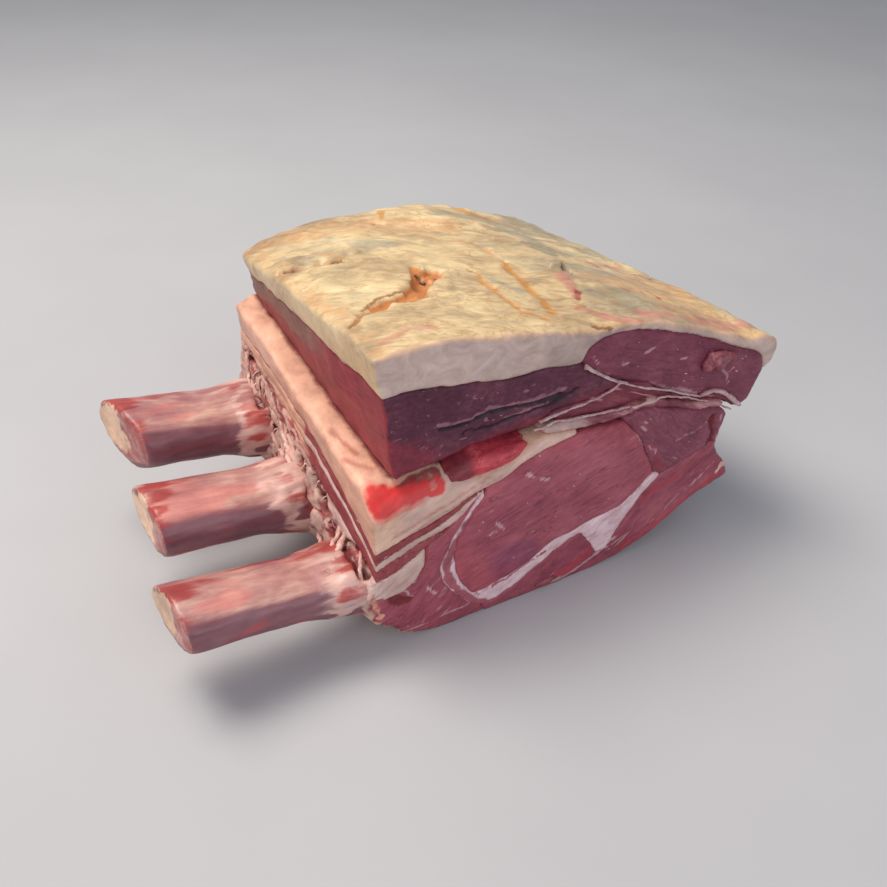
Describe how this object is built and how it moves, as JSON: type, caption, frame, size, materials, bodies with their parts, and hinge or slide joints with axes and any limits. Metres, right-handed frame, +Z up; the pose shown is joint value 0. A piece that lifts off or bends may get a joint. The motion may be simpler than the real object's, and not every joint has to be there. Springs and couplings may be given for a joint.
{
  "type": "beef rib roast",
  "caption": "Raw beef rib roast with frenched rib bones, eye muscle, seam fat, cap muscle and a thick cover of creamy back fat.",
  "frame": {"origin": "middle of the bounding box at the floor the roast rests on", "axes": "+X from the rib ends towards the eye side, +Y from the near cut face to the far one, +Z up through the fat cap"},
  "size_m": [0.2814, 0.156, 0.1376],
  "materials": {
    "back_fat": "dry-skinned creamy yellow fat with tan and grey patches",
    "cap_lean": "raw lean meat, moist, dark purple-red",
    "oval_lean": "raw lean meat, moist, mauve-red with white flecks",
    "flap_lean": "raw lean meat, moist",
    "flap_fat": "moist pink-white fat",
    "cover_fat": "moist salmon-cream fat with blood stains",
    "tongue_lean": "raw lean meat, moist, bright red",
    "strip_lean": "raw lean meat, moist",
    "layer_fat": "moist pink-white fat",
    "seam_fat": "moist white to pink seam fat",
    "eye_lean": "raw lean meat, moist, mauve-red with fine grain",
    "spinalis_lean": "raw lean meat, moist, with thin membranes",
    "chain_lean": "raw lean meat, moist, red",
    "side_lean": "raw lean meat, moist, with ragged membrane at the ribs",
    "bone": "scraped rib bone, moist, pink-beige with red ends"
  },
  "bodies": {
    "root": {"cap_fat": "back_fat", "cap_muscle": "cap_lean", "cap_oval": "oval_lean", "cap_flap": "flap_lean", "flap_fat": "flap_fat", "lower_fat": "cover_fat", "lean_tongue": "tongue_lean", "lean_strip_upper": "strip_lean", "lean_strip_lower": "strip_lean", "strip_fat": "layer_fat", "side_fat": "layer_fat", "seam_fat": "seam_fat", "rib_eye": "eye_lean", "spinalis": "spinalis_lean", "chain_muscle": "chain_lean", "side_muscle": "side_lean", "rib_bone_1": "bone", "rib_bone_2": "bone", "rib_bone_3": "bone"}
  },
  "joints": []
}
